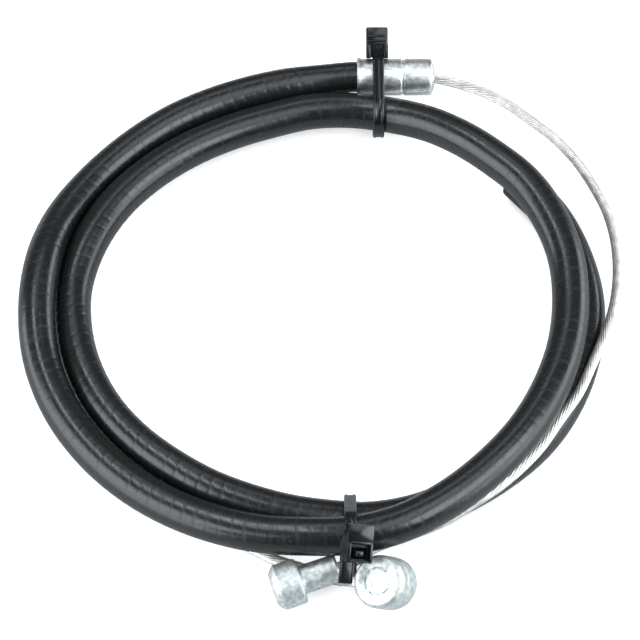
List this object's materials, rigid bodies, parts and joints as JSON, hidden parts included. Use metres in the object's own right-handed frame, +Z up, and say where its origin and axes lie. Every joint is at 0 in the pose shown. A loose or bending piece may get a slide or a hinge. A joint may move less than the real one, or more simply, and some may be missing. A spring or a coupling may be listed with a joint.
{
  "type": "shift cable",
  "caption": "Steel inner wire ending in a barrel nipple and a pear nipple, inside a coiled ribbed black casing with a ferrule, the coil held flat by cable ties.",
  "frame": {"origin": "under the middle of the whole part's box, on the surface it lies on", "axes": "+Z up, across the coil's plane; +Y from the nipples across the coil to the ferrule; +X to the right in the picture"},
  "size_m": [0.0896, 0.1006, 0.014],
  "materials": {
    "casing_jacket": "black, semi-gloss, ribbed by the winding under it",
    "casing_winding": "bare steel strip",
    "casing_liner": "pale, smooth",
    "inner_wire": "bright twisted strands",
    "ferrule": "plated, faintly mottled",
    "barrel_nipple": "bright cast metal, mottled",
    "pear_nipple": "bright cast metal, mottled",
    "tie_top": "black moulded nylon",
    "tie_bottom": "black moulded nylon"
  },
  "bodies": {
    "root": {"casing_jacket": "casing_jacket", "casing_winding": "casing_winding", "casing_liner": "casing_liner", "inner_wire": "inner_wire", "ferrule": "ferrule", "barrel_nipple": "barrel_nipple", "pear_nipple": "pear_nipple", "tie_top": "tie_top", "tie_bottom": "tie_bottom"}
  },
  "joints": []
}
